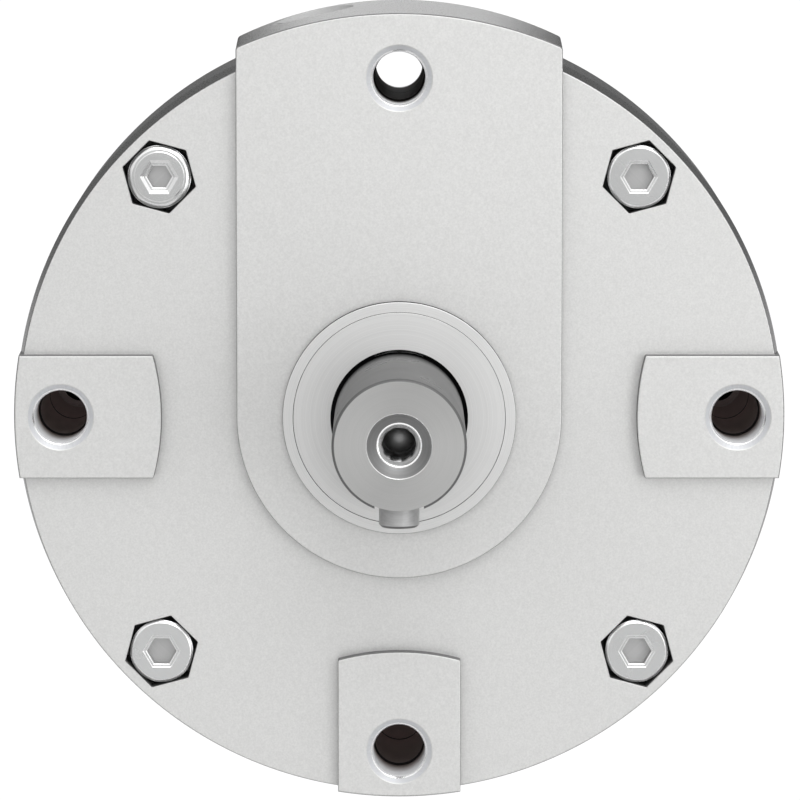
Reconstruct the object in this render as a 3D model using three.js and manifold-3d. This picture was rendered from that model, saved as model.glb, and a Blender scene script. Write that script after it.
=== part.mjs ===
// Rotary pneumatic actuator of the vane type, with a keyed output shaft.
// Millimetres, +Z up. The shaft lies along Y with its keyed end towards -Y.
// The origin is on the shaft axis, in the flat rear face of the body.
// Depths named d are measured backwards from the front mounting plane (the faces of the lugs),
// so a depth d lies at Y = d - BODY_DEPTH.

import * as THREE from "three";
import { mergeVertices } from "three/addons/utils/BufferGeometryUtils.js";
import Module from "manifold-3d";

const wasm = await Module();
wasm.setup();

// ---------- driving dimensions ----------
const BODY_DEPTH = 51; // front mounting plane to rear face
const SPLIT = 30.65; // depth of the joint between the two housing halves
const SPLIT_GAP = 0.2; // gap kept between the halves
const STEP = 2.25; // how far the lugs and the tongue stand proud of the round end faces

const R_FRONT = 59.7; // radius of the lugs' outer ends at the front mounting plane
const R_FACE = 59.1; // radius of the round end face, from which the wall widens backwards
const R_FLARE = 59.9; // body radius where the casting draft starts
const D_FLARE = 8.1; // depth of that circle
const R_SPLIT = 60.3; // body radius at the joint plane
const R_REAR = 59.5; // body radius near the rear face
const REAR_CHAMFER = 1.2;

const TONGUE_HALF = 25.2; // half width of the tongue at the front
const TONGUE_TOP = 62.5; // height of its arched top above the shaft axis
const TONGUE_CORNER = 57.2; // height of its two top corners
const TONGUE_HALF_SPLIT = 25.85; // the same three at the joint plane
const TONGUE_TOP_SPLIT = 63.6;
const TONGUE_CORNER_SPLIT = 57.65;
const TONGUE_HALF_REAR = 25.3; // and at the rear face
const TONGUE_TOP_REAR = 62.8;
const TONGUE_CORNER_REAR = 57.2;

const LUG_WIDTH = 19.1; // width of the three small lugs
const LUG_INNER = 36.85; // radius of a lug's inner edge at its middle
const LUG_ARC = 36; // radius of that edge's own arc, bulging towards the shaft

const MOUNT_PCR = 52.5; // pitch radius of the four mounting holes and of the clamp screws
const MOUNT_R = 4.05; // mounting hole radius over its relieved front length
const MOUNT_RELIEF_D = 9.9; // depth of that length
const MOUNT_CORE_R = 3.8; // behind it, in place of the M8 thread
const MOUNT_MOUTH_R = 5.2; // chamfer radius at the mouth
const BLIND_DEPTH = 49; // depth of the three blind mounting holes

const SCREW_AT = 37.12; // X and Z of the clamp screws
const POCKET_AF = 10.15; // across the flats of the hexagon pockets
const SCREW_HEAD_R = 4.83;
const SCREW_HEAD_D0 = 2.6; // depth of the screw head's top
const SCREW_HEAD_H = 6;
const SCREW_R = 3.0;
const SCREW_HOLE_R = 3.3;
const SCREW_END = 48.3;
const SOCKET_AF = 5;
const SOCKET_DEPTH = 3.2;
const FRONT_POCKET_DEPTH = 8.85;
const REAR_POCKET_DEPTH = 43.0; // depth of the floor of the rear pockets
const NUT_AF = 9.85;
const NUT_H = 5;

const COLLAR_R = 18.05; // collar round the shaft
const COLLAR_PROUD = 1.3; // how far it stands in front of the mounting plane
const RING_R = 16.4; // cover ring in the collar
const RING_BORE = 10.5;

const CHAMBER_R = 43;
const CHAMBER_D0 = 14;
const CHAMBER_D1 = 37;

const BEARING_OD = 32;
const BEARING_ID = 20;
const BEARING_B = 7;
const BALL_R = 1.5;
const BALLS = 10;
const BALL_PITCH_R = 13;
const FRONT_BEARING_D0 = 2.6;
const REAR_BEARING_D0 = 41.0;

const SHAFT_R = 10;
const SHAFT_D0 = -36.7; // front end of the shaft
const SHAFT_D1 = 49.4;
const SHAFT_CHAMFER = 0.3;
const CENTRE_MOUTH_R = 4.85; // countersink of the shaft's front thread
const CENTRE_R = 3.1;
const CENTRE_DEPTH = 13;

const KEY_W = 6;
const KEY_OUT = 12.5; // radius of the outer face of the key
const KEY_IN = 6.5; // radius of its inner face
const KEY_D0 = -35.4;
const KEY_D1 = -3.4;

const PORT_X = 13.7; // the ports lie this far either side of the middle
const PORT_R = 6.6; // G 1/4 thread
const PORT_FLOOR = 48; // height at which the port narrows
const PORT_NECK_R = 4.5;
const PORT_FRONT_D = 22.6;
const PORT_REAR_D = 38.7;

const HUB_R = 14; // hub of the vane
const HUB_BORE = 10.2;
const VANE_HALF = 4; // half thickness of the vane
const VANE_TIP = 39;
const SEAL_TIP = 42.5;
const SIDE_GAP = 0.3;

const STATOR_NECK = 7.4; // half width of the stator between the ports
const STATOR_R = 42.7;
const STOP_HALF_ANGLE = 45; // angle between the stator's middle and the vane's middle at a stop
const CUSHION_T = 2.5;
const CUSHION_GAP = 0.35;
const CUSHION_S0 = 16;
const CUSHION_S1 = 31;

const DOWEL_R = 2;
const PIN_R = 2;

const SEG = 72; // segments of the outer circles
const BORE = 48; // of the collar
const MID = 36; // of the chamber and the shaft
const HID = 24; // of the bearings and seals
const SMALL = 20; // of the holes
const FINE = 16; // of the fasteners

const Y = (d) => d - BODY_DEPTH;
const rad = (deg) => (deg * Math.PI) / 180;

// ---------- solids from geometries ----------
function solid(geometry) {
  const g = geometry.index ? geometry.toNonIndexed() : geometry.clone();
  const bare = new THREE.BufferGeometry().setAttribute("position", g.getAttribute("position"));
  const merged = mergeVertices(bare, 1e-4);
  const idx = merged.index.array;
  const pos = merged.attributes.position.array;
  const keep = [];
  let vol = 0;
  for (let i = 0; i < idx.length; i += 3) {
    const [a, b, c] = [idx[i], idx[i + 1], idx[i + 2]];
    if (a === b || b === c || a === c) continue;
    keep.push(a, b, c);
    const [ax, ay, az] = [pos[3 * a], pos[3 * a + 1], pos[3 * a + 2]];
    const [bx, by, bz] = [pos[3 * b], pos[3 * b + 1], pos[3 * b + 2]];
    const [cx, cy, cz] = [pos[3 * c], pos[3 * c + 1], pos[3 * c + 2]];
    vol += ax * (by * cz - bz * cy) + ay * (bz * cx - bx * cz) + az * (bx * cy - by * cx);
  }
  if (vol < 0) for (let i = 0; i < keep.length; i += 3) [keep[i + 1], keep[i + 2]] = [keep[i + 2], keep[i + 1]];
  const mesh = new wasm.Mesh({
    numProp: 3,
    vertProperties: new Float32Array(pos),
    triVerts: new Uint32Array(keep),
  });
  mesh.merge();
  return new wasm.Manifold(mesh);
}

// Closed profile of [radius, depth] pairs turned round the shaft axis.
function turned(profile, segments = SEG) {
  const pts = profile.map(([r, d]) => new THREE.Vector2(r, Y(d)));
  pts.push(pts[0].clone());
  return solid(new THREE.LatheGeometry(pts, segments));
}

// Outline of [x, z] pairs extruded along Y from depth d0 to d1.
function slab(outline, d0, d1) {
  const shape = new THREE.Shape(outline.map(([x, z]) => new THREE.Vector2(x, z)));
  const g = new THREE.ExtrudeGeometry(shape, { depth: d1 - d0, bevelEnabled: false, steps: 1 });
  g.rotateX(Math.PI / 2);
  g.translate(0, Y(d1), 0);
  return solid(g);
}

// The same, with a second outline of as many points at the far end.
function drafted(outline0, outline1, d0, d1) {
  const shape = new THREE.Shape(outline0.map(([x, z]) => new THREE.Vector2(x, z)));
  const g = new THREE.ExtrudeGeometry(shape, { depth: d1 - d0, bevelEnabled: false, steps: 1 });
  const p = g.getAttribute("position");
  for (let i = 0; i < p.count; i++) {
    // the extrusion's z = 0 end becomes the far end (d1), because the turn sends +z to -Y
    if (p.getZ(i) > 1e-6) continue;
    let best = 0;
    let bd = Infinity;
    outline0.forEach(([x, z], k) => {
      const e = Math.hypot(x - p.getX(i), z - p.getY(i));
      if (e < bd) [bd, best] = [e, k];
    });
    p.setXY(i, outline1[best][0], outline1[best][1]);
  }
  g.rotateX(Math.PI / 2);
  g.translate(0, Y(d1), 0);
  return solid(g);
}

// Cylinder along Y.
function rod(x, z, r, d0, d1, n = SMALL) {
  const g = new THREE.CylinderGeometry(r, r, d1 - d0, n);
  g.translate(x, (Y(d0) + Y(d1)) / 2, z);
  return solid(g);
}

// Cone frustum along Y, radius r0 at depth d0 and r1 at depth d1.
function frustum(x, z, r0, r1, d0, d1, n = SMALL) {
  const g = new THREE.CylinderGeometry(r1, r0, d1 - d0, n);
  g.translate(x, (Y(d0) + Y(d1)) / 2, z);
  return solid(g);
}

// Cylinder along Z.
function post(x, d, r, z0, z1, n = SMALL) {
  const g = new THREE.CylinderGeometry(r, r, z1 - z0, n);
  g.rotateX(Math.PI / 2);
  g.translate(x, Y(d), (z0 + z1) / 2);
  return solid(g);
}

function block(x0, x1, d0, d1, z0, z1) {
  const g = new THREE.BoxGeometry(x1 - x0, d1 - d0, z1 - z0);
  g.translate((x0 + x1) / 2, (Y(d0) + Y(d1)) / 2, (z0 + z1) / 2);
  return solid(g);
}

function hexagon(x, z, acrossFlats, firstNormalDeg) {
  const r = acrossFlats / 2 / Math.cos(Math.PI / 6);
  const pts = [];
  for (let i = 0; i < 6; i++) {
    const a = rad(firstNormalDeg + 30 + 60 * i);
    pts.push([x + r * Math.cos(a), z + r * Math.sin(a)]);
  }
  return pts;
}

function arc(cx, cz, r, a0, a1, n) {
  const pts = [];
  for (let i = 0; i <= n; i++) {
    const a = rad(a0 + ((a1 - a0) * i) / n);
    pts.push([cx + r * Math.cos(a), cz + r * Math.sin(a)]);
  }
  return pts;
}

function all(list) {
  return list.reduce((a, b) => a.add(b));
}

// ---------- outlines ----------
// Arched top over two upright sides and a round lower end on the shaft axis.
function tongueOutline(half, top, cornerZ) {
  const sag = top - cornerZ;
  const r = (half * half + sag * sag) / (2 * sag);
  const cz = top - r;
  const corner = (Math.acos(half / r) * 180) / Math.PI;
  return [...arc(0, cz, r, corner, 180 - corner, 14), ...arc(0, 0, half, 180, 360, 12)];
}

// One lug, for the hole at angle a (degrees from +X, counter-clockwise seen from the front).
function lugOutline(a) {
  const hw = LUG_WIDTH / 2;
  const c = LUG_INNER + LUG_ARC; // centre of the inner edge's arc, on the lug's middle line
  const half = (Math.asin(hw / LUG_ARC) * 180) / Math.PI;
  const local = [...arc(c, 0, LUG_ARC, 180 + half, 180 - half, 8), [70, hw], [70, -hw]];
  const [ca, sa] = [Math.cos(rad(a)), Math.sin(rad(a))];
  return local.map(([x, z]) => [x * ca - z * sa, x * sa + z * ca]);
}

const HOLES = [
  [0, 1],
  [1, 0],
  [0, -1],
  [-1, 0],
].map(([x, z]) => [x * MOUNT_PCR, z * MOUNT_PCR]);
const SCREWS = [
  [-1, 1],
  [1, 1],
  [-1, -1],
  [1, -1],
].map(([x, z]) => [x * SCREW_AT, z * SCREW_AT]);
// direction from the shaft axis to a screw, in degrees: each hexagon pocket has a flat facing outwards along it
const diagonal = (x, z) => (Math.atan2(z, x) * 180) / Math.PI;
const DOWELS = [22.5, 202.5].map((a) => [MOUNT_PCR * Math.cos(rad(a)), MOUNT_PCR * Math.sin(rad(a))]);

// ---------- front housing ----------
const frontEnd = SPLIT - SPLIT_GAP / 2;
const rearStart = SPLIT + SPLIT_GAP / 2;

const frontHousing = (() => {
  let body = turned([
    [0, 0],
    [R_FRONT, 0],
    [R_FLARE, D_FLARE],
    [R_SPLIT, frontEnd],
    [0, frontEnd],
  ]);
  body = body.add(
    drafted(
      tongueOutline(TONGUE_HALF, TONGUE_TOP, TONGUE_CORNER),
      tongueOutline(TONGUE_HALF_SPLIT, TONGUE_TOP_SPLIT, TONGUE_CORNER_SPLIT),
      0,
      frontEnd,
    ),
  );
  // round end face, 2.25 behind the lugs
  const disc = turned([
    [0, -1],
    [80, -1],
    [80, D_FLARE + 0.2],
    [R_FLARE + 0.03, D_FLARE + 0.2],
    [R_FACE, STEP],
    [0, STEP],
  ]);
  const proud = all([
    slab(
      [
        [-TONGUE_HALF, 0],
        [TONGUE_HALF, 0],
        [TONGUE_HALF, 85],
        [-TONGUE_HALF, 85],
      ],
      -2,
      D_FLARE + 1,
    ),
    rod(0, 0, TONGUE_HALF, -2, D_FLARE + 1, BORE),
    slab(lugOutline(0), -2, D_FLARE + 1),
    slab(lugOutline(180), -2, D_FLARE + 1),
    slab(lugOutline(270), -2, D_FLARE + 1),
  ]);
  body = body.subtract(disc.subtract(proud));
  body = body.add(
    turned([
      [0, -COLLAR_PROUD],
      [COLLAR_R - 0.5, -COLLAR_PROUD],
      [COLLAR_R, -COLLAR_PROUD + 0.5],
      [COLLAR_R, 2],
      [0, 2],
    ], BORE),
  );
  // stepped bore: cover ring, bearing, shaft seal, shaft
  body = body.subtract(
    turned([
      [0, -COLLAR_PROUD - 1],
      [RING_R + 0.15, -COLLAR_PROUD - 1],
      [RING_R + 0.15, 1.2],
      [0, 1.2],
    ], MID),
  );
  body = body.subtract(
    turned([
      [0, 0],
      [BEARING_OD / 2 + 0.1, 0],
      [BEARING_OD / 2 + 0.1, 9.75],
      [13.65, 9.75],
      [13.65, 12.6],
      [10.5, 12.6],
      [10.5, CHAMBER_D0 + 1],
      [0, CHAMBER_D0 + 1],
    ], HID),
  );
  // half of the vane chamber
  body = body.subtract(
    turned([
      [0, CHAMBER_D0],
      [CHAMBER_R, CHAMBER_D0],
      [CHAMBER_R, frontEnd + 1],
      [0, frontEnd + 1],
    ], MID),
  );
  // groove for the sealing ring
  body = body.subtract(
    turned([
      [44.2, frontEnd - 1.75],
      [46.4, frontEnd - 1.75],
      [46.4, frontEnd + 1],
      [44.2, frontEnd + 1],
    ], MID),
  );
  const cuts = [];
  for (const [x, z] of HOLES) {
    cuts.push(rod(x, z, MOUNT_R, -3, MOUNT_RELIEF_D));
    cuts.push(rod(x, z, MOUNT_CORE_R, 5, frontEnd + 1));
    cuts.push(frustum(x, z, MOUNT_MOUTH_R + 0.6, MOUNT_R - 0.4, -0.6, MOUNT_MOUTH_R - MOUNT_R + 0.4));
  }
  for (const [x, z] of SCREWS) {
    cuts.push(rod(x, z, SCREW_HOLE_R, 5, frontEnd + 1, FINE));
    cuts.push(slab(hexagon(x, z, POCKET_AF, diagonal(x, z)), 0, FRONT_POCKET_DEPTH));
  }
  for (const [x, z] of DOWELS) cuts.push(rod(x, z, DOWEL_R + 0.15, 24.4, frontEnd + 1, 12));
  for (const z of [22, 36]) cuts.push(rod(0, z, PIN_R + 0.15, 9.9, CHAMBER_D0 + 1, 12));
  cuts.push(post(-PORT_X, PORT_FRONT_D, PORT_R, PORT_FLOOR, 70, 24));
  cuts.push(post(-PORT_X, PORT_FRONT_D, PORT_NECK_R, 36, PORT_FLOOR + 1, 12));
  return body.subtract(all(cuts));
})();

// ---------- rear housing ----------
const rearHousing = (() => {
  let body = turned([
    [0, rearStart],
    [R_SPLIT, rearStart],
    [R_REAR, BODY_DEPTH - REAR_CHAMFER],
    [R_REAR - REAR_CHAMFER, BODY_DEPTH],
    [0, BODY_DEPTH],
  ]);
  body = body.add(
    drafted(
      tongueOutline(TONGUE_HALF_SPLIT, TONGUE_TOP_SPLIT, TONGUE_CORNER_SPLIT),
      tongueOutline(TONGUE_HALF_REAR, TONGUE_TOP_REAR, TONGUE_CORNER_REAR),
      rearStart,
      BODY_DEPTH,
    ),
  );
  const disc = slab(arc(0, 0, 80, 0, 330, 11), BODY_DEPTH - STEP, BODY_DEPTH + 1);
  const proud = all([
    slab(
      [
        [-TONGUE_HALF_REAR, 0],
        [TONGUE_HALF_REAR, 0],
        [TONGUE_HALF_REAR, 85],
        [-TONGUE_HALF_REAR, 85],
      ],
      BODY_DEPTH - STEP - 1,
      BODY_DEPTH + 2,
    ),
    rod(0, 0, TONGUE_HALF_REAR, BODY_DEPTH - STEP - 1, BODY_DEPTH + 2, BORE),
    slab(lugOutline(0), BODY_DEPTH - STEP - 1, BODY_DEPTH + 2),
    slab(lugOutline(180), BODY_DEPTH - STEP - 1, BODY_DEPTH + 2),
    slab(lugOutline(270), BODY_DEPTH - STEP - 1, BODY_DEPTH + 2),
  ]);
  body = body.subtract(disc.subtract(proud));
  // the other half of the vane chamber
  body = body.subtract(
    turned([
      [0, rearStart - 1],
      [CHAMBER_R, rearStart - 1],
      [CHAMBER_R, CHAMBER_D1],
      [0, CHAMBER_D1],
    ], MID),
  );
  // stepped bore: shaft, shaft seal, bearing, end cap
  body = body.subtract(
    turned([
      [0, CHAMBER_D1 - 1],
      [10.5, CHAMBER_D1 - 1],
      [10.5, 38.1],
      [13.65, 38.1],
      [13.65, 40.9],
      [BEARING_OD / 2 + 0.1, 40.9],
      [BEARING_OD / 2 + 0.1, 50],
      [0, 50],
    ], HID),
  );
  body = body.subtract(
    turned([
      [0, 49.5],
      [RING_R + 0.15, 49.5],
      [RING_R + 0.15, BODY_DEPTH + 1],
      [0, BODY_DEPTH + 1],
    ], MID),
  );
  const cuts = [];
  HOLES.forEach(([x, z], i) => {
    if (i === 0) {
      cuts.push(rod(x, z, MOUNT_CORE_R, rearStart - 1, BODY_DEPTH + 2));
      cuts.push(frustum(x, z, MOUNT_R - 0.4, MOUNT_R + 1.2, BODY_DEPTH - 1, BODY_DEPTH + 0.6));
    } else cuts.push(rod(x, z, MOUNT_CORE_R, rearStart - 1, BLIND_DEPTH));
  });
  for (const [x, z] of SCREWS) {
    cuts.push(rod(x, z, SCREW_HOLE_R, rearStart - 1, 46, FINE));
    cuts.push(slab(hexagon(x, z, POCKET_AF, diagonal(x, z)), REAR_POCKET_DEPTH, BODY_DEPTH + 1));
  }
  for (const [x, z] of DOWELS) cuts.push(rod(x, z, DOWEL_R + 0.15, rearStart - 1, 37, 12));
  for (const z of [22, 36]) cuts.push(rod(0, z, PIN_R + 0.15, CHAMBER_D1 - 1, 41.2, 12));
  cuts.push(post(PORT_X, PORT_REAR_D, PORT_R, PORT_FLOOR, 70, 24));
  cuts.push(post(PORT_X, PORT_REAR_D, PORT_NECK_R, 37.5, PORT_FLOOR + 1, 12));
  return body.subtract(all(cuts));
})();

// ---------- drive shaft ----------
function keySeat(width, d0, d1, z0, z1, n = 8) {
  // round-ended block along Y, between the heights z0 and z1
  const r = width / 2;
  const pts = [];
  for (let i = 0; i <= n; i++) {
    const a = (Math.PI * i) / n;
    pts.push(new THREE.Vector2(r * Math.cos(a), Y(d1) - r + r * Math.sin(a)));
  }
  for (let i = 0; i <= n; i++) {
    const a = Math.PI + (Math.PI * i) / n;
    pts.push(new THREE.Vector2(r * Math.cos(a), Y(d0) + r + r * Math.sin(a)));
  }
  const g = new THREE.ExtrudeGeometry(new THREE.Shape(pts), { depth: z1 - z0, bevelEnabled: false, steps: 1 });
  g.translate(0, 0, z0);
  return solid(g);
}

const GROOVE_R = 9.5;
const CLIP_FRONT_D = 1.25;
const CLIP_REAR_D = 48.15;
const CLIP_T = 1.0;

const driveShaft = (() => {
  const c = SHAFT_CHAMFER;
  let body = turned([
    [0, SHAFT_D0],
    [SHAFT_R - c, SHAFT_D0],
    [SHAFT_R, SHAFT_D0 + c],
    [SHAFT_R, CLIP_FRONT_D - 0.1],
    [GROOVE_R, CLIP_FRONT_D - 0.1],
    [GROOVE_R, CLIP_FRONT_D + CLIP_T + 0.1],
    [SHAFT_R, CLIP_FRONT_D + CLIP_T + 0.1],
    [SHAFT_R, CLIP_REAR_D - 0.05],
    [GROOVE_R, CLIP_REAR_D - 0.05],
    [GROOVE_R, CLIP_REAR_D + CLIP_T + 0.05],
    [GROOVE_R, SHAFT_D1],
    [0, SHAFT_D1],
  ], MID);
  const sink = (CENTRE_MOUTH_R - CENTRE_R) / Math.tan(rad(30));
  body = body.subtract(
    turned([
      [0, SHAFT_D0 - 1],
      [CENTRE_MOUTH_R, SHAFT_D0 - 1],
      [CENTRE_MOUTH_R, SHAFT_D0],
      [CENTRE_R, SHAFT_D0 + sink],
      [CENTRE_R, SHAFT_D0 + CENTRE_DEPTH],
      [0, SHAFT_D0 + CENTRE_DEPTH + 1.6],
    ], SMALL),
  );
  body = body.subtract(keySeat(KEY_W + 0.2, KEY_D0 - 0.1, KEY_D1 + 0.1, -SHAFT_R - 2, -KEY_IN + 0.1));
  body = body.subtract(keySeat(KEY_W + 0.2, 15.9, 35.1, -SHAFT_R - 2, -KEY_IN + 0.1));
  return body;
})();

// ---------- vane ----------
const hubD0 = CHAMBER_D0 + SIDE_GAP;
const hubD1 = CHAMBER_D1 - SIDE_GAP;
const vane = (() => {
  let body = turned([
    [HUB_BORE, hubD0],
    [HUB_R, hubD0],
    [HUB_R, hubD1],
    [HUB_BORE, hubD1],
  ], MID);
  body = body.add(block(-VANE_HALF, VANE_HALF, hubD0 + 3, hubD1 - 3, -VANE_TIP, -HUB_R + 1));
  body = body.subtract(keySeat(KEY_W + 0.2, 15.9, 35.1, -KEY_OUT - 0.15, -HUB_BORE + 1.5));
  return body;
})();

const vaneSeal = (() => {
  const t = 3.6;
  const outer = block(-t, t, CHAMBER_D0 + 0.25, CHAMBER_D1 - 0.25, -SEAL_TIP, -HUB_R - 0.5);
  const inner = block(-t - 1, t + 1, hubD0 + 2.8, hubD1 - 2.8, -VANE_TIP - 0.2, 0);
  return outer.subtract(inner);
})();

// ---------- stator ----------
const stop = rad(STOP_HALF_ANGLE);
const su = [Math.sin(stop), Math.cos(stop)];
const sn = [-Math.cos(stop), Math.sin(stop)];
const flankOffset = VANE_HALF + CUSHION_GAP + CUSHION_T + 0.15;
const along = (s, off) => [s * su[0] + off * sn[0], s * su[1] + off * sn[1]];
const stator = (() => {
  const rIn = HUB_R + 0.3;
  const s0 = Math.sqrt(rIn * rIn - flankOffset * flankOffset);
  const low = along(s0, flankOffset);
  const high = along(33, flankOffset);
  const a0 = (Math.atan2(low[1], low[0]) * 180) / Math.PI;
  const topZ = Math.sqrt(STATOR_R ** 2 - STATOR_NECK ** 2);
  const a1 = (Math.atan2(topZ, STATOR_NECK) * 180) / Math.PI;
  const right = [low, high, [STATOR_NECK + 2, 33.5], [STATOR_NECK, 35]];
  const pts = [
    ...right,
    ...arc(0, 0, STATOR_R, a1, 180 - a1, 8),
    ...right.slice().reverse().map(([x, z]) => [-x, z]),
    ...arc(0, 0, rIn, 180 - a0, a0, 6).slice(1, -1),
  ];
  let body = slab(pts, CHAMBER_D0 + SIDE_GAP / 2, CHAMBER_D1 - SIDE_GAP / 2);
  body = body.subtract(block(-1.7, 1.7, CHAMBER_D0 - 1, CHAMBER_D1 + 1, 10, 17.6));
  for (const z of [22, 36]) body = body.subtract(rod(0, z, PIN_R + 0.15, CHAMBER_D0 - 1, CHAMBER_D1 + 1, 12));
  return body;
})();

function cushion(side) {
  const o0 = VANE_HALF + CUSHION_GAP;
  const pts = [
    along(CUSHION_S0, o0),
    along(CUSHION_S1, o0),
    along(CUSHION_S1, o0 + CUSHION_T),
    along(CUSHION_S0, o0 + CUSHION_T),
  ].map(([x, z]) => [side * x, z]);
  return slab(side > 0 ? pts : pts.reverse(), 17.6, 33.4);
}

// ---------- bearings ----------
function race(rIn, rOut, d0) {
  return turned([
    [rIn, d0],
    [rOut, d0],
    [rOut, d0 + BEARING_B],
    [rIn, d0 + BEARING_B],
  ], HID);
}

function ball(d0, i) {
  const g = new THREE.IcosahedronGeometry(BALL_R, 1);
  const a = (2 * Math.PI * i) / BALLS;
  g.translate(BALL_PITCH_R * Math.cos(a), Y(d0 + BEARING_B / 2), BALL_PITCH_R * Math.sin(a));
  return solid(g);
}

function cage(d0) {
  const d = d0 + BEARING_B / 2;
  return turned([
    [12.2, d + 1.7],
    [13.8, d + 1.7],
    [13.8, d + 2.6],
    [12.2, d + 2.6],
  ], HID);
}

function lipSeal(d0, d1) {
  return turned([
    [11.4, d0],
    [13.5, d0],
    [13.5, d1],
    [11.2, d1],
    [10.2, d1 - 0.7],
  ], HID);
}

// External retaining ring, open towards an angle given in degrees.
function retainingRing(d0, openAt) {
  const n = 16;
  const half = 22;
  const inner = arc(0, 0, GROOVE_R + 0.3, openAt + half, openAt + 360 - half, n);
  const outer = arc(0, 0, 11.6, openAt + 360 - half, openAt + half, n);
  return slab([...outer, ...inner], d0, d0 + CLIP_T);
}

// ---------- fasteners ----------
function capScrew(x, z) {
  const top = SCREW_HEAD_D0;
  const g = new THREE.LatheGeometry(
    [
      [0, top],
      [SCREW_HEAD_R - 0.5, top],
      [SCREW_HEAD_R, top + 0.5],
      [SCREW_HEAD_R, top + SCREW_HEAD_H],
      [SCREW_R, top + SCREW_HEAD_H],
      [SCREW_R, SCREW_END - 0.6],
      [SCREW_R - 0.6, SCREW_END],
      [0, SCREW_END],
      [0, top],
    ].map(([r, d]) => new THREE.Vector2(r, Y(d))),
    FINE,
  );
  g.translate(x, 0, z);
  return solid(g).subtract(slab(hexagon(x, z, SOCKET_AF, 30), top - 1, top + SOCKET_DEPTH));
}

function hexNut(x, z) {
  const d1 = REAR_POCKET_DEPTH + 0.15;
  return slab(hexagon(x, z, NUT_AF, diagonal(x, z)), d1, d1 + NUT_H).subtract(rod(x, z, SCREW_R + 0.15, d1 - 1, d1 + NUT_H + 1, FINE));
}

// ---------- materials ----------
const mat = (color, roughness, metalness) => new THREE.MeshStandardMaterial({ color, roughness, metalness });
const castAluminium = mat(0xd8d8d6, 0.5, 0.6);
const machinedAluminium = mat(0xc8c9ca, 0.35, 0.8);
const steel = mat(0xa9aaab, 0.3, 0.9);
const zincSteel = mat(0xc3c4c6, 0.35, 0.9);
const bearingSteel = mat(0xb4b6b8, 0.2, 1.0);
const rubber = mat(0x1a1a1b, 0.8, 0);
const polyurethane = mat(0x8a5a1e, 0.6, 0);
const polyamide = mat(0x2c2d2f, 0.6, 0);
const brass = mat(0xb58f45, 0.35, 0.9);

const group = new THREE.Group();
function put(name, body, material) {
  const m = body.getMesh();
  const g = new THREE.BufferGeometry();
  const np = m.numProp;
  const v = new Float32Array((m.vertProperties.length / np) * 3);
  for (let i = 0; i < v.length / 3; i++)
    for (let k = 0; k < 3; k++) v[3 * i + k] = m.vertProperties[np * i + k];
  g.setAttribute("position", new THREE.BufferAttribute(v, 3));
  g.setIndex(new THREE.BufferAttribute(new Uint32Array(m.triVerts), 1));
  g.computeVertexNormals();
  const mesh = new THREE.Mesh(g, material);
  mesh.name = name;
  group.add(mesh);
  return mesh;
}

put("front_housing", frontHousing, castAluminium);
put("rear_housing", rearHousing, castAluminium);
put(
  "front_cover_ring",
  turned([
    [RING_BORE + 0.3, -COLLAR_PROUD],
    [RING_R - 0.25, -COLLAR_PROUD],
    [RING_R, -COLLAR_PROUD + 0.25],
    [RING_R, 0.95],
    [RING_BORE, 0.95],
    [RING_BORE, -COLLAR_PROUD + 0.3],
  ], MID),
  machinedAluminium,
);
put(
  "rear_end_cap",
  turned([
    [0, 49.65],
    [RING_R, 49.65],
    [RING_R, BODY_DEPTH - 0.3],
    [RING_R - 0.3, BODY_DEPTH],
    [0, BODY_DEPTH],
  ], MID),
  machinedAluminium,
);
put("front_bearing_outer_race", race(14.8, BEARING_OD / 2, FRONT_BEARING_D0), bearingSteel);
put("rear_bearing_outer_race", race(14.8, BEARING_OD / 2, REAR_BEARING_D0), bearingSteel);
put("front_shaft_seal", lipSeal(9.9, 12.45), rubber);
put("rear_shaft_seal", lipSeal(38.25, 40.8), rubber);
put(
  "housing_sealing_ring",
  turned(
    arc(45.3, 0, 0.92, 0, 300, 5).map(([r, d]) => [r, d + frontEnd - 0.78]),
    MID,
  ),
  rubber,
);
put("stator_block", stator, machinedAluminium);
put("stator_seal_strip", block(-1.5, 1.5, CHAMBER_D0 + 0.25, CHAMBER_D1 - 0.25, HUB_R + 0.15, 17.4), rubber);
put("end_cushion_left", cushion(-1), polyurethane);
put("end_cushion_right", cushion(1), polyurethane);
put("stator_pin_lower", rod(0, 22, PIN_R, 10.1, 41.0, 12), steel);
put("stator_pin_upper", rod(0, 36, PIN_R, 10.1, 41.0, 12), steel);
put("dowel_pin_right", rod(DOWELS[0][0], DOWELS[0][1], DOWEL_R, 24.6, 36.8, 12), steel);
put("dowel_pin_left", rod(DOWELS[1][0], DOWELS[1][1], DOWEL_R, 24.6, 36.8, 12), steel);
const CORNERS = ["upper_left", "upper_right", "lower_left", "lower_right"];
SCREWS.forEach(([x, z], i) => {
  put("clamp_screw_" + CORNERS[i], capScrew(x, z), zincSteel);
  put("clamp_nut_" + CORNERS[i], hexNut(x, z), zincSteel);
});

put("drive_shaft", driveShaft, steel);
put("shaft_key", keySeat(KEY_W, KEY_D0, KEY_D1, -KEY_OUT, -KEY_IN), steel);
put("vane_key", keySeat(KEY_W, 16, 35, -KEY_OUT, -KEY_IN), steel);
put("vane", vane, machinedAluminium);
put("vane_seal", vaneSeal, polyurethane);
put("front_bearing_inner_race", race(BEARING_ID / 2 + 0.15, 11.35, FRONT_BEARING_D0), bearingSteel);
put("rear_bearing_inner_race", race(BEARING_ID / 2 + 0.15, 11.35, REAR_BEARING_D0), bearingSteel);
put("front_retaining_ring", retainingRing(CLIP_FRONT_D, 90), steel);
put("rear_retaining_ring", retainingRing(CLIP_REAR_D, 90), steel);

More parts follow.
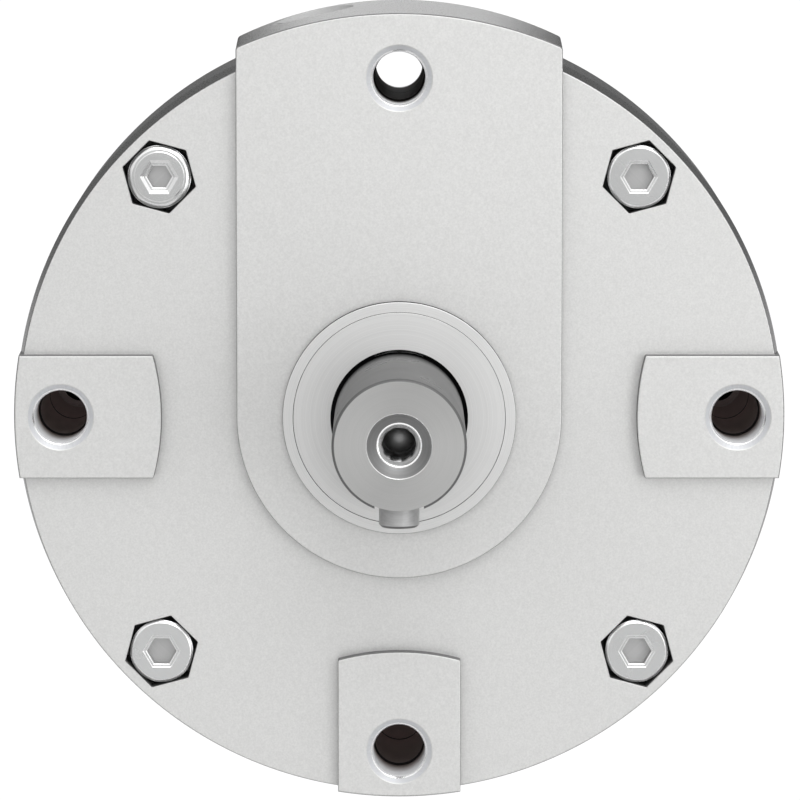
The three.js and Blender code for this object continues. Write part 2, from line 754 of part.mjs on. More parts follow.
for (const [side, d0] of [
  ["front", FRONT_BEARING_D0],
  ["rear", REAR_BEARING_D0],
]) {
  put(side + "_bearing_cage", cage(d0), brass);
  for (let i = 0; i < BALLS; i++) put(side + "_bearing_ball_" + String(i + 1).padStart(2, "0"), ball(d0, i), bearingSteel);
}

export default group;
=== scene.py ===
import math
import bpy
from mathutils import Matrix, Vector


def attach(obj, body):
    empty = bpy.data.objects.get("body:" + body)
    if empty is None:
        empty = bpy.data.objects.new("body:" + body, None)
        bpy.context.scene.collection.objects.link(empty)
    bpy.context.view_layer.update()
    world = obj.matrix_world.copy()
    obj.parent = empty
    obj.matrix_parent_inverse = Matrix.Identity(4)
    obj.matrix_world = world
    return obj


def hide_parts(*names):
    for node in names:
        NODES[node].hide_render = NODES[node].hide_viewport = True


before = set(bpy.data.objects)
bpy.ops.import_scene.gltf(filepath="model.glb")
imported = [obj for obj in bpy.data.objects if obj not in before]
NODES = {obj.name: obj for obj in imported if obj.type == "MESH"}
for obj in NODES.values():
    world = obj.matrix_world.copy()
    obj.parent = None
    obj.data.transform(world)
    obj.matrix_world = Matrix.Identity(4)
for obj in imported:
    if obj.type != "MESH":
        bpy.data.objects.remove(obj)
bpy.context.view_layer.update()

# ---------------------------------------------------------------- sizes, in millimetres (the CAD model's)
BODY_DEPTH = 51.0
F_END, R_START = 30.55, 30.75
STEP = 2.25
R_FRONT, R_FACE, R_FLARE, D_FLARE, R_SPLIT, R_REAR = 59.7, 59.1, 59.9, 8.1, 60.3, 59.5
T_F = (25.2, 62.5, 57.2)
T_S = (25.85, 63.6, 57.65)
T_R = (25.3, 62.8, 57.2)
LUG_W, LUG_IN, LUG_ARC = 19.1, 36.85, 36.0
PCR, HOLE_R, CORE_R, MOUTH_R, BLIND = 52.5, 4.05, 3.8, 5.2, 49.0
SC = 37.12
HOLES = [(0, PCR), (PCR, 0), (0, -PCR), (-PCR, 0)]
SCREWS = {"upper_left": (-SC, SC), "upper_right": (SC, SC), "lower_left": (-SC, -SC), "lower_right": (SC, -SC)}
PI = math.pi


def Y(d):
    return d - BODY_DEPTH


# ---------------------------------------------------------------- mesh building
def obj_from(name, verts, faces):
    me = bpy.data.meshes.new(name)
    me.from_pydata([tuple(v) for v in verts], [], faces)
    me.validate()
    me.update()
    vol = 0.0
    for p in me.polygons:
        vs = [me.vertices[i].co for i in p.vertices]
        for k in range(1, len(vs) - 1):
            vol += vs[0].dot(vs[k].cross(vs[k + 1]))
    if vol < 0:
        me.flip_normals()
    o = bpy.data.objects.new(name, me)
    bpy.context.scene.collection.objects.link(o)
    return o


def ring_faces(a, b, n):
    return [(a + j, a + (j + 1) % n, b + (j + 1) % n, b + j) for j in range(n)]


def lathe(name, profile, n=192, axis="Y", at=(0.0, 0.0)):
    """profile: [(radius, position along the axis)]; open chains start and end on the axis, others close on themselves.
    axis Y: positions are depths d, at = (x, z). axis Z: positions are heights, at = (x, d)."""
    verts, faces, index = [], [], []
    closed = profile[0][0] > 1e-9 or profile[-1][0] > 1e-9
    for r, p in profile:
        if r < 1e-9:
            index.append((len(verts), True))
            verts.append((at[0], Y(p), at[1]) if axis == "Y" else (at[0], Y(at[1]), p))
        else:
            index.append((len(verts), False))
            for j in range(n):
                a = 2 * PI * j / n
                if axis == "Y":
                    verts.append((at[0] + r * math.cos(a), Y(p), at[1] + r * math.sin(a)))
                else:
                    verts.append((at[0] + r * math.cos(a), Y(at[1]) + r * math.sin(a), p))
    pairs = list(zip(index, index[1:]))
    if closed:
        pairs.append((index[-1], index[0]))
    for (a, pa), (b, pb) in pairs:
        if pa and pb:
            continue
        if pa:
            faces += [(a, b + (j + 1) % n, b + j) for j in range(n)]
        elif pb:
            faces += [(a + j, a + (j + 1) % n, b) for j in range(n)]
        else:
            faces += ring_faces(a, b, n)
    return obj_from(name, verts, faces)


def loft(name, rings, axis="Y"):
    """rings: [([(x, z), ...], depth)], every ring with as many points; flat caps at both ends."""
    verts, faces = [], []
    n = len(rings[0][0])
    for pts, d in rings:
        assert len(pts) == n
        verts += [(x, Y(d), z) if axis == "Y" else (x, z, d) for x, z in pts]
    for k in range(len(rings) - 1):
        faces += ring_faces(k * n, (k + 1) * n, n)
    faces.append(tuple(reversed(range(n))))
    faces.append(tuple(range((len(rings) - 1) * n, len(rings) * n)))
    return obj_from(name, verts, faces)


def arc(cx, cz, r, a0, a1, n):
    return [(cx + r * math.cos(math.radians(a0 + (a1 - a0) * i / n)), cz + r * math.sin(math.radians(a0 + (a1 - a0) * i / n))) for i in range(n + 1)]


def area2(pts):
    return sum(p[0] * q[1] - q[0] * p[1] for p, q in zip(pts, pts[1:] + pts[:1]))


def offset(pts, dist):
    """Outline moved outwards by dist (inwards if negative)."""
    s = 1 if area2(pts) > 0 else -1
    out = []
    n = len(pts)
    for i in range(n):
        p0, p1, p2 = pts[i - 1], pts[i], pts[(i + 1) % n]
        e1 = Vector((p1[0] - p0[0], p1[1] - p0[1])).normalized()
        e2 = Vector((p2[0] - p1[0], p2[1] - p1[1])).normalized()
        n1, n2 = Vector((e1.y, -e1.x)) * s, Vector((e2.y, -e2.x)) * s
        m = n1 + n2
        m.normalize()
        k = dist / max(0.35, m.dot(n1))
        out.append((p1[0] + m.x * k, p1[1] + m.y * k))
    return out


def round_corners(pts, radius, seg=4, only=None):
    """Replaces each corner (or those listed in only) by an arc of seg segments."""
    out = []
    n = len(pts)
    for i in range(n):
        if only is not None and i not in only:
            out.append(pts[i])
            continue
        p0, p1, p2 = Vector(pts[i - 1]), Vector(pts[i]), Vector(pts[(i + 1) % n])
        u, v = (p0 - p1).normalized(), (p2 - p1).normalized()
        half = math.acos(max(-1, min(1, u.dot(v)))) / 2
        t = min(radius / math.tan(half), 0.45 * (p0 - p1).length, 0.45 * (p2 - p1).length)
        r = t * math.tan(half)
        c = p1 + (u + v).normalized() * (r / math.sin(half))
        a, b = (p1 + u * t) - c, (p1 + v * t) - c
        for k in range(seg + 1):
            w = k / seg
            d = (a * (1 - w) + b * w)
            ang = math.acos(max(-1, min(1, a.normalized().dot(b.normalized()))))
            if ang > 1e-6:
                d = (a * math.sin((1 - w) * ang) + b * math.sin(w * ang)) / math.sin(ang)
            out.append((c.x + d.x, c.y + d.y))
    return out


def rounded_edge(outline, d_face, d_far, r, outward=-1, seg=4):
    """Rings of a prism whose edge at d_face is rounded with radius r. d_far may lie either side."""
    s = 1 if d_far > d_face else -1
    rings = []
    for k in range(seg + 1):
        a = PI / 2 * k / seg
        rings.append((offset(outline, -r * (1 - math.sin(a))), d_face + s * r * (1 - math.cos(a))))
    rings.append((outline, d_far))
    return rings


def boolean(a, b, op):
    """a (op) b with both objects used up; the result keeps a's object."""
    m = a.modifiers.new("cut", "BOOLEAN")
    m.operation, m.solver, m.object = op, "MANIFOLD", b
    dg = bpy.context.evaluated_depsgraph_get()
    me = bpy.data.meshes.new_from_object(a.evaluated_get(dg))
    old = a.data
    a.modifiers.clear()
    if not len(me.polygons) or len(me.polygons) == len(old.polygons):
        raise RuntimeError(f"boolean {op} of {a.name} with {b.name} did nothing")
    a.data = me
    bpy.data.meshes.remove(old)
    gone = b.data
    bpy.data.objects.remove(b)
    bpy.data.meshes.remove(gone)
    return a


def cut(a, *bs):
    for b in bs:
        boolean(a, b, "DIFFERENCE")
    return a


def join(a, *bs):
    for b in bs:
        boolean(a, b, "UNION")
    return a


def merge_objects(a, *bs):
    """One object holding the separate closed bodies of all of them."""
    import bmesh
    bm = bmesh.new()
    for o in (a, *bs):
        bm.from_mesh(o.data)
    bm.to_mesh(a.data)
    bm.free()
    for o in bs:
        d = o.data
        bpy.data.objects.remove(o)
        bpy.data.meshes.remove(d)
    return a


def finish_piece(o, name, body, material, replaces=(), sharp=32, weld=0.0004, assign=None):
    """Scales to metres, cleans, sets smooth shading with hard corners, and puts the piece on its body.
    assign(centre, normal) in millimetres gives the index of a face's material."""
    import bmesh
    bm = bmesh.new()
    bm.from_mesh(o.data)
    bmesh.ops.remove_doubles(bm, verts=bm.verts, dist=weld)
    bmesh.ops.dissolve_degenerate(bm, edges=bm.edges, dist=weld)
    bmesh.ops.recalc_face_normals(bm, faces=bm.faces)
    bm.normal_update()
    for f in bm.faces:
        f.material_index = assign(f.calc_center_median(), f.normal) if assign else 0
    bmesh.ops.scale(bm, vec=(0.001, 0.001, 0.001), verts=bm.verts)
    bmesh.ops.recalc_face_normals(bm, faces=bm.faces)
    limit = math.radians(sharp)
    for e in bm.edges:
        hard = len(e.link_faces) != 2 or e.calc_face_angle(0.0) > limit
        if not hard and (abs(e.link_faces[0].normal.y) > 0.9995) != (abs(e.link_faces[1].normal.y) > 0.9995):
            hard = e.calc_face_angle(0.0) > math.radians(4)
        e.smooth = not hard
    for f in bm.faces:
        f.smooth = True
    bm.to_mesh(o.data)
    bm.free()
    o.name = name
    o.data.name = name
    wn = o.modifiers.new("normals", "WEIGHTED_NORMAL")
    wn.keep_sharp, wn.weight, wn.mode = True, 80, "FACE_AREA"
    index = [p.material_index for p in o.data.polygons]
    o.data.materials.clear()
    for m in material if isinstance(material, (list, tuple)) else [material]:
        o.data.materials.append(m)
    o.data.polygons.foreach_set("material_index", index)
    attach(o, body)
    if replaces:
        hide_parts(*replaces)
    return o


# ---------------------------------------------------------------- materials
def new_mat(name):
    m = bpy.data.materials.new(name)
    m.use_nodes = True
    nt = m.node_tree
    bsdf = nt.nodes["Principled BSDF"]
    return m, nt, bsdf


def node(nt, kind, **props):
    n = nt.nodes.new(kind)
    for k, v in props.items():
        if k in n.inputs:
            n.inputs[k].default_value = v
        else:
            setattr(n, k, v)
    return n


def coords(nt):
    return node(nt, "ShaderNodeTexCoord").outputs["Object"]


def noise(nt, vec, scale, detail=3.0, rough=0.6, dims=None):
    n = nt.nodes.new("ShaderNodeTexNoise")
    n.inputs["Scale"].default_value = scale
    n.inputs["Detail"].default_value = detail
    n.inputs["Roughness"].default_value = rough
    nt.links.new(vec, n.inputs["Vector"])
    return n.outputs["Fac"]


def remap(nt, val, a0, a1, b0, b1):
    n = nt.nodes.new("ShaderNodeMapRange")
    n.inputs["From Min"].default_value = a0
    n.inputs["From Max"].default_value = a1
    n.inputs["To Min"].default_value = b0
    n.inputs["To Max"].default_value = b1
    nt.links.new(val, n.inputs["Value"])
    return n.outputs["Result"]


def math_node(nt, op, a, b=None, c=None):
    n = nt.nodes.new("ShaderNodeMath")
    n.operation = op
    for i, v in enumerate((a, b, c)):
        if v is None:
            continue
        if isinstance(v, (int, float)):
            n.inputs[i].default_value = v
        else:
            nt.links.new(v, n.inputs[i])
    return n.outputs[0]


def mix_color(nt, fac, a, b, blend="MIX"):
    n = nt.nodes.new("ShaderNodeMix")
    n.data_type = "RGBA"
    n.blend_type = blend
    if isinstance(fac, (int, float)):
        n.inputs[0].default_value = fac
    else:
        nt.links.new(fac, n.inputs[0])
    for sock, v in ((n.inputs[6], a), (n.inputs[7], b)):
        if isinstance(v, tuple):
            sock.default_value = (*v, 1.0) if len(v) == 3 else v
        else:
            nt.links.new(v, sock)
    return n.outputs[2]


def bump(nt, height, strength, distance, normal=None):
    n = nt.nodes.new("ShaderNodeBump")
    n.inputs["Strength"].default_value = strength
    n.inputs["Distance"].default_value = distance
    nt.links.new(height, n.inputs["Height"])
    if normal is not None:
        nt.links.new(normal, n.inputs["Normal"])
    return n.outputs["Normal"]


def split_xyz(nt, vec):
    n = nt.nodes.new("ShaderNodeSeparateXYZ")
    nt.links.new(vec, n.inputs[0])
    return n.outputs["X"], n.outputs["Y"], n.outputs["Z"]


def radius_about_y(nt, vec, cx=0.0, cz=0.0):
    x, y, z = split_xyz(nt, vec)
    dx = math_node(nt, "SUBTRACT", x, cx)
    dz = math_node(nt, "SUBTRACT", z, cz)
    r2 = math_node(nt, "ADD", math_node(nt, "MULTIPLY", dx, dx), math_node(nt, "MULTIPLY", dz, dz))
    return math_node(nt, "SQRT", r2)


def blasted_material(name, lo, hi, metallic, rough0, rough1, grain=0.30, strength=0.30, aniso=0.0):
    """Fine bead-blasted aluminium: a fine grain in tone, roughness and height, without clouds."""
    m, nt, b = new_mat(name)
    co = coords(nt)
    fine = noise(nt, co, 3400, 1.0, 0.6)
    mid = noise(nt, co, 1300, 2.0, 0.55)
    tone = mix_color(nt, remap(nt, fine, 0.28, 0.72, 0, 1), lo, hi)
    tone = mix_color(nt, remap(nt, mid, 0.35, 0.75, 0, grain), tone, tuple(c * 0.86 for c in lo))
    nt.links.new(tone, b.inputs["Base Color"])
    b.inputs["Metallic"].default_value = metallic
    nt.links.new(remap(nt, fine, 0.2, 0.8, rough0, rough1), b.inputs["Roughness"])
    h = math_node(nt, "ADD", math_node(nt, "MULTIPLY", fine, 0.5), math_node(nt, "MULTIPLY", mid, 0.5))
    nt.links.new(bump(nt, h, strength, 0.00003), b.inputs["Normal"])
    if aniso:
        b.inputs["Anisotropic"].default_value = aniso
        b.inputs["Anisotropic Rotation"].default_value = 0.25
        t = nt.nodes.new("ShaderNodeTangent")
        t.direction_type, t.axis = "RADIAL", "Y"
        nt.links.new(t.outputs[0], b.inputs["Tangent"])
    return m


def bore_material():
    """Machined bore with fine turning marks along the axis, coloured with painted light and shade: bright near each
    mouth as if lit, a painted dark and slightly brown shade further in.
    """
    m, nt, b = new_mat("machined_bore")
    co = coords(nt)
    x, y, z = split_xyz(nt, co)
    marks = nt.nodes.new("ShaderNodeTexNoise")
    marks.noise_dimensions = "1D"
    marks.inputs["Scale"].default_value = 9000.0
    marks.inputs["Detail"].default_value = 2.0
    nt.links.new(y, marks.inputs["W"])
    marks = marks.outputs["Fac"]
    fine = noise(nt, co, 2600, 2.0, 0.6)
    # painted light: a near-white wall near the mouths, where light comes in
    bright = mix_color(nt, remap(nt, marks, 0.3, 0.7, 0, 1), (0.88, 0.885, 0.90), (0.95, 0.955, 0.965))
    bright = mix_color(nt, remap(nt, fine, 0.4, 0.8, 0, 0.2), bright, (0.62, 0.62, 0.63))
    front = remap(nt, y, Y(3.6) * 0.001, Y(9.0) * 0.001, 0, 1)
    rear = remap(nt, y, Y(50.6) * 0.001, Y(46.0) * 0.001, 0, 1)
    # mask of the painted shade, from the lit mouths to the shaded inside; it also sets metallic and roughness
    painted_shade_depth = math_node(nt, "MINIMUM", front, rear)
    # a painted shadow line where the drill's first step ends, and a dark joint line where the two halves meet
    step = math_node(nt, "ABSOLUTE", math_node(nt, "SUBTRACT", y, Y(9.9) * 0.001))
    seam = math_node(nt, "ABSOLUTE", math_node(nt, "SUBTRACT", y, Y(30.65) * 0.001))
    line = math_node(nt, "MAXIMUM", remap(nt, step, 0.0007, 0.0003, 0, 1), remap(nt, seam, 0.0005, 0.0003, 0, 1))
    brown = mix_color(nt, remap(nt, fine, 0.3, 0.7, 0, 1), (0.22, 0.180, 0.165), (0.29, 0.238, 0.219))
    # painted light: the brown shade is lightened further in, where little light gets in; painted shade: almost black in
    # the open hole at the top
    inside = remap(nt, y, Y(12.0) * 0.001, Y(30.0) * 0.001, 0, 1)
    top = remap(nt, z, 0.0400, 0.0405, 0, 1)
    brown = mix_color(nt, inside, brown, (0.66, 0.54, 0.50))
    brown = mix_color(nt, top, brown, (0.085, 0.070, 0.064))
    brown = mix_color(nt, line, brown, (0.010, 0.008, 0.008))
    tone = mix_color(nt, painted_shade_depth, bright, brown)
    nt.links.new(tone, b.inputs["Base Color"])
    # painted light: an emission at the far end standing in for the many faint reflections between the walls, none on
    # the dark lines or in the top hole
    far = math_node(nt, "MULTIPLY", painted_shade_depth, remap(nt, y, Y(10.0) * 0.001, Y(24.0) * 0.001, 0.4, 1))
    painted_glow = mix_color(nt, far, (0.0, 0.0, 0.0), (0.0075, 0.0066, 0.0068))
    painted_glow = mix_color(nt, math_node(nt, "MAXIMUM", line, top), painted_glow, (0.0, 0.0, 0.0))
    nt.links.new(painted_glow, b.inputs["Emission Color"])
    b.inputs["Emission Strength"].default_value = 1.0
    b.inputs["Specular IOR Level"].default_value = 0.12
    nt.links.new(remap(nt, painted_shade_depth, 0, 1, 0.05, 0.0), b.inputs["Metallic"])
    nt.links.new(remap(nt, painted_shade_depth, 0, 1, 0.30, 0.62), b.inputs["Roughness"])
    nt.links.new(bump(nt, marks, 0.10, 0.00002), b.inputs["Normal"])
    return m


def turned_material(name, colour, rough0, rough1, metallic=1.0, rings=9000, strength=0.12, cx=0.0, cz=0.0, aniso=0.0, tone_marks=0.05, painted_shade_from=None):
    """Turned metal: fine concentric tool marks about the Y axis through (cx, cz)."""
    m, nt, b = new_mat(name)
    co = coords(nt)
    r = radius_about_y(nt, co, cx, cz)
    x, y, z = split_xyz(nt, co)
    # tool marks on faces run with the radius, on cylinders with the depth
    comb = nt.nodes.new("ShaderNodeCombineXYZ")
    nt.links.new(math_node(nt, "MULTIPLY", r, rings), comb.inputs[0])
    nt.links.new(math_node(nt, "MULTIPLY", y, rings * 0.5), comb.inputs[1])
    marks = nt.nodes.new("ShaderNodeTexNoise")
    marks.inputs["Scale"].default_value = 1.0
    marks.inputs["Detail"].default_value = 2.0
    nt.links.new(comb.outputs[0], marks.inputs["Vector"])
    marks = marks.outputs["Fac"]
    cloud = noise(nt, co, 90, 3.0, 0.5)
    c2 = tuple(min(1.0, c * (1 + tone_marks)) for c in colour)
    c1 = tuple(c * (1 - tone_marks) for c in colour)
    tone = mix_color(nt, remap(nt, marks, 0.3, 0.7, 0, 1), c1, c2)
    tone = mix_color(nt, remap(nt, cloud, 0.4, 0.8, 0, 0.10), tone, tuple(c * 0.8 for c in colour))
    if painted_shade_from:
        # painted shade: the tone darkens in a band next to the seal, where the gap shades the shaft
        d0, d1, k = painted_shade_from
        tone = mix_color(nt, remap(nt, y, Y(d0) * 0.001, Y(d1) * 0.001, 0, 1), tone, tuple(c * k for c in colour))
    nt.links.new(tone, b.inputs["Base Color"])
    b.inputs["Metallic"].default_value = metallic
    # painted shade: the same band also turns less metallic
    if painted_shade_from:
        nt.links.new(remap(nt, y, Y(d0) * 0.001, Y(d1) * 0.001, metallic, 0.25), b.inputs["Metallic"])
    nt.links.new(remap(nt, cloud, 0.3, 0.7, rough0, rough1), b.inputs["Roughness"])
    if aniso:
        b.inputs["Anisotropic"].default_value = aniso
        t = nt.nodes.new("ShaderNodeTangent")
        t.direction_type, t.axis = "RADIAL", "Y"
        nt.links.new(t.outputs[0], b.inputs["Tangent"])
    nt.links.new(bump(nt, marks, strength, 0.00002), b.inputs["Normal"])
    return m


def rubber_material(name, colour, rough=0.6):
    m, nt, b = new_mat(name)
    co = coords(nt)
    f = noise(nt, co, 1500, 3.0, 0.6)
    tone = mix_color(nt, remap(nt, f, 0.3, 0.7, 0, 1), tuple(c * 0.8 for c in colour), tuple(min(1, c * 1.25) for c in colour))
    nt.links.new(tone, b.inputs["Base Color"])
    nt.links.new(remap(nt, f, 0.3, 0.7, rough - 0.08, rough + 0.1), b.inputs["Roughness"])
    nt.links.new(bump(nt, f, 0.3, 0.00003), b.inputs["Normal"])
    return m


M_FACE = blasted_material("blasted_face", (0.62, 0.62, 0.613), (0.70, 0.70, 0.692), 0.80, 0.44, 0.54, grain=0.18, aniso=0.20)
# painted shade: the outer wall is a darker copy of the face's aluminium
M_WALL = blasted_material("shaded_blasted_wall", (0.40, 0.40, 0.40), (0.47, 0.47, 0.47), 1.0, 0.25, 0.33, grain=0.2, strength=0.2)
M_BORE = bore_material()
M_RECESS = blasted_material("shaded_recess", (0.15, 0.15, 0.15), (0.20, 0.20, 0.20), 0.3, 0.5, 0.6, grain=0.2, strength=0.2)
# painted shade: the walls of the raised pads are a dark, dull copy of the aluminium
M_STEP = blasted_material("milled_step_painted_shade", (0.19, 0.19, 0.19), (0.24, 0.24, 0.24), 0.0, 0.62, 0.72, grain=0.2, strength=0.1)
M_STEP.node_tree.nodes["Principled BSDF"].inputs["Specular IOR Level"].default_value = 0.1
M_SHAFT = turned_material("turned_shaft_steel", (0.475, 0.475, 0.47), 0.26, 0.34, aniso=0.55, tone_marks=0.03, strength=0.06)
# painted shade: the shaft's cylinder is a darker copy of its steel, darker still next to the seal
M_GROUND = turned_material("shaded_ground_shaft_steel", (0.185, 0.185, 0.185), 0.26, 0.34, metallic=0.38, rings=5000, tone_marks=0.03, strength=0.02, painted_shade_from=(-8.0, -1.6, 0.20))
M_GROUND.node_tree.nodes["Principled BSDF"].inputs["Specular IOR Level"].default_value = 0.0
# painted shade: the seat of the shaft's centre hole is a darker copy of the shaft's steel
M_SEAT = turned_material("turned_seat_steel", (0.30, 0.30, 0.30), 0.42, 0.5, tone_marks=0.10, strength=0.10)
M_RING = turned_material("turned_aluminium", (0.70, 0.70, 0.695), 0.40, 0.50, metallic=0.75, strength=0.08, aniso=0.30)
M_RING.node_tree.nodes["Principled BSDF"].inputs["Anisotropic Rotation"].default_value = 0.25
M_SINK = turned_material("countersink", (0.56, 0.568, 0.585), 0.40, 0.48, metallic=0.35, rings=3000, strength=0.02)
M_ZINC = turned_material("zinc_steel", (0.60, 0.604, 0.604), 0.24, 0.32, rings=5000, strength=0.04, tone_marks=0.03)
# painted highlight: near-white steel on the lips of the mounting holes and the edges of the shaft's centre hole
M_PAINTED_HIGHLIGHT = turned_material("painted_highlight_edge", (0.94, 0.94, 0.94), 0.20, 0.28, rings=3000, strength=0.02)
# painted shade: the side of the collar is near black
M_COLLAR_SIDE = blasted_material("collar_side_painted_shade", (0.03, 0.03, 0.032), (0.045, 0.045, 0.048), 0.0, 0.6, 0.7, grain=0.2, strength=0.1)
M_COLLAR_SIDE.node_tree.nodes["Principled BSDF"].inputs["Specular IOR Level"].default_value = 0.1
M_PORT = blasted_material("port_mouth", (0.46, 0.46, 0.46), (0.52, 0.52, 0.52), 0.15, 0.5, 0.6, grain=0.2, strength=0.1)
# painted shade: a near-black surface put where there is only shade: the seal gap, the shaft inside it, the cover ring's
# bore and back, and the ends of the blind holes
M_SHADE = rubber_material("painted_gap_shade", (0.008, 0.008, 0.008), 0.85)
M_SHADE.node_tree.nodes["Principled BSDF"].inputs["Specular IOR Level"].default_value = 0.05
HOUSING = [M_FACE, M_WALL, M_BORE, M_RECESS, M_STEP, M_SINK, M_PAINTED_HIGHLIGHT, M_COLLAR_SIDE, M_PORT, M_SHADE, M_RING]
# painted highlight: a brighter copy of the zinc plating on the screws' bevels and rounded rims
M_RIM = turned_material("screw_rim_painted_highlight", (0.84, 0.84, 0.84), 0.22, 0.30, rings=3000, strength=0.02)
M_THREAD = turned_material("cut_thread", (0.42, 0.42, 0.42), 0.25, 0.36, rings=3000, strength=0.05)
M_SOCKET = turned_material("socket_floor", (0.47, 0.47, 0.47), 0.36, 0.46, rings=3000, strength=0.03, tone_marks=0.03)
M_KEY = turned_material("key_steel", (0.43, 0.43, 0.43), 0.46, 0.54, metallic=0.8, rings=3000, strength=0.05, tone_marks=0.08)
# painted shade: a dark copy of the steel on the key's chamfers and the shaft's front bevel
M_KEY_EDGE = turned_material("key_edge_painted_shade", (0.13, 0.13, 0.13), 0.40, 0.50, metallic=0.3, rings=3000, strength=0.03)
M_BEARING = turned_material("bearing_steel", (0.62, 0.63, 0.64), 0.10, 0.18, rings=6000, strength=0.03)
# black oxide, as retaining rings often are, and made this dark as painted shade so the seal gap in front of them reads
# black
M_OXIDE = turned_material("black_oxide_and_painted_shade_steel", (0.012, 0.012, 0.013), 0.55, 0.65, metallic=0.0, rings=4000, strength=0.06)
M_OXIDE.node_tree.nodes["Principled BSDF"].inputs["Specular IOR Level"].default_value = 0.1
M_STEEL = turned_material("plain_steel", (0.42, 0.42, 0.42), 0.28, 0.4, rings=4000, strength=0.06)
M_BRASS = turned_material("cage_brass", (0.62, 0.45, 0.18), 0.25, 0.35, rings=4000, strength=0.05)
M_RUBBER = rubber_material("seal_rubber", (0.025, 0.025, 0.027))
M_PU = rubber_material("amber_polyurethane", (0.42, 0.22, 0.06), 0.45)
M_RUBBER.node_tree.nodes["Principled BSDF"].inputs["Specular IOR Level"].default_value = 0.15
M_DARK = rubber_material("dark_polyamide", (0.045, 0.046, 0.05), 0.5)


# ---------------------------------------------------------------- outlines
def tongue_outline(half, top, corner):
    sag = top - corner
    r = (half * half + sag * sag) / (2 * sag)
    cz = top - r
    a = math.degrees(math.acos(half / r))
    pts = arc(0, cz, r, a, 180 - a, 48) + arc(0, 0, half, 180, 360, 96)
    return round_corners(pts, 0.7, 4, only={0, 48})


def tongue_slot(half, grow=0.0):
    """The tongue's outline with straight sides that run on past its top."""
    h = half + grow
    return [(h, 85.0), (-h, 85.0)] + arc(0, 0, h, 180, 360, 96)


def lug_outline(angle):
    hw = LUG_W / 2
    c = LUG_IN + LUG_ARC
    half = math.degrees(math.asin(hw / LUG_ARC))
    local = arc(c, 0, LUG_ARC, 180 + half, 180 - half, 40) + [(80.0, hw), (80.0, -hw)]
    n = 41
    local = round_corners(local, 0.9, 5, only={0, n - 1})
    ca, sa = math.cos(math.radians(angle)), math.sin(math.radians(angle))
    return [(x * ca - z * sa, x * sa + z * ca) for x, z in local]


def hexagon(cx, cz, af, first_deg, corner=0.0, seg=3):
    r = af / 2 / math.cos(PI / 6)
    pts = [(cx + r * math.cos(math.radians(first_deg + 30 + 60 * i)), cz + r * math.sin(math.radians(first_deg + 30 + 60 * i))) for i in range(6)]
    return round_corners(pts, corner, seg) if corner else pts


def outward(x, z):
    """Direction from the shaft axis to a screw, in degrees; its hexagons have a flat facing that way."""
    return math.degrees(math.atan2(z, x))


def quarter(rc, dc, r, a0, a1, n=4):
    """Points (radius, depth) of an arc in a lathe profile, centre (rc, dc), angles from +radius towards +depth."""
    return [(rc + r * math.cos(math.radians(a0 + (a1 - a0) * i / n)), dc + r * math.sin(math.radians(a0 + (a1 - a0) * i / n))) for i in range(n + 1)]


# ---------------------------------------------------------------- front housing
def face_relief(front, half_slot):
    """What is milled away round the tongue and the lugs, leaving rounded edges. front: True for the front face."""
    s = 1 if front else -1
    d_face = 0.0 if front else BODY_DEPTH
    floor = d_face + s * STEP
    edge_r = 0.22
    prof = [(0.0, d_face - s * 3.0), (75.0, d_face - s * 3.0)]
    if front:
        # the wall widens backwards from the end face
        prof += [(75.0, D_FLARE + 0.25), (R_FLARE + 0.04, D_FLARE + 0.25), (R_FACE + 0.03, floor + edge_r)]
        r_side = R_FACE + 0.03
    else:
        prof += [(75.0, floor + s * edge_r)]
        r_side = R_REAR + 0.06
    k = 4
    for i in range(k + 1):
        t = math.radians(90 - 90 * i / k)
        if front and i == 0:
            continue
        prof.append((r_side - edge_r + edge_r * math.sin(t), floor + s * edge_r - s * edge_r * math.cos(t)))
    prof.append((0.0, floor))
    plate = lathe("plate", prof, 288)
    e = 0.20
    # the kept pieces run on beyond the face, so that nothing is left over them
    for outline in [tongue_slot(half_slot, -0.02)] + [lug_outline(a) for a in (0, 180, 270)]:
        rings = rounded_edge(outline, d_face, d_face + s * (9.2 if front else 3.8), e)
        boolean(plate, loft("keep", [(rings[0][0], d_face - s * 4.5)] + rings), "DIFFERENCE")
    return plate


